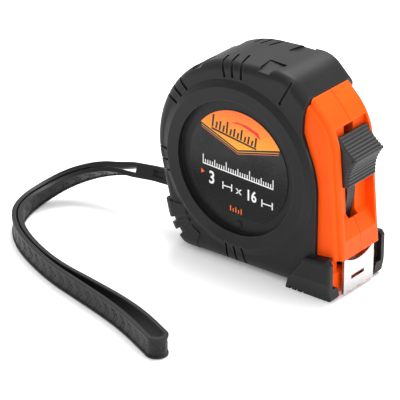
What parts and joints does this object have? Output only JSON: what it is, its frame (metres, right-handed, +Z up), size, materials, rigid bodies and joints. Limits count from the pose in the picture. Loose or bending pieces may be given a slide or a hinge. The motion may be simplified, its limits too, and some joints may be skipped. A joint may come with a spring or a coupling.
{
  "type": "pocket tape measure",
  "caption": "Rubber-clad pocket tape measure with a spring-return blade, sliding thumb lock, end hook, belt clip and wrist strap.",
  "frame": {"origin": "on the base, directly under the drum's axis, in the plane where the two case halves meet", "axes": "+X is the front, where the blade comes out; -Y is the label side; +Z is up"},
  "size_m": [0.1291, 0.0991, 0.0746],
  "materials": {
    "orange_plastic": "satin moulded ABS, bright orange",
    "black_rubber": "matt moulded rubber with a fine texture",
    "printed_label": "glossy printed sticker, black with an orange field",
    "drum_plastic": "natural plastic",
    "spring_steel": "blued spring steel",
    "blade_paint": "yellow lacquered steel blade with black graduations",
    "plated_steel": "bright nickel plate",
    "zinc_screw": "zinc-plated screws and pins",
    "black_plastic": "satin black moulded plastic",
    "strap_rubber": "soft moulded rubber"
  },
  "bodies": {
    "case": {"case_left": "orange_plastic", "case_right": "orange_plastic", "grip_left": "black_rubber", "grip_right": "black_rubber", "label_left": "printed_label", "arbor": "zinc_screw", "brake_pad": "black_rubber", "case_screws": "zinc_screw", "clip_screw": "zinc_screw", "strap_pin": "zinc_screw", "belt_clip": "plated_steel", "strap_head": "strap_rubber", "wrist_strap": "strap_rubber"},
    "drum": {"tape_drum": "drum_plastic", "drum_cap": "drum_plastic", "power_spring": "spring_steel", "tape_coil": "blade_paint"},
    "blade": {"tape_lead": "blade_paint", "hook_rivets": "zinc_screw"},
    "hook": {"end_hook": "plated_steel"},
    "lock": {"lock_button": "black_plastic", "lock_lever": "black_plastic"}
  },
  "joints": [
    {"name": "drum_spin", "type": "hinge", "parent": "case", "child": "drum", "pos_m": [0, 0, 0.037], "axis": [0, 1, 0], "range_deg": [-68.75, 0], "stiffness_Nm_per_rad": 0.002, "springref_deg": 85.94},
    {"name": "tape_pull", "type": "slide", "parent": "case", "child": "blade", "axis": [1, 0, 0], "range_m": [0, 0.03]},
    {"name": "hook_play", "type": "slide", "parent": "blade", "child": "hook", "axis": [1, 0, 0], "range_m": [0, 0.001]},
    {"name": "lock_slide", "type": "slide", "parent": "case", "child": "lock", "axis": [0.0537, 0, -0.9986], "range_m": [0, 0.0055]}
  ],
  "couplings": [
    {"joint": "tape_pull", "follows": "drum_spin", "m_per_rad": -0.025}
  ]
}
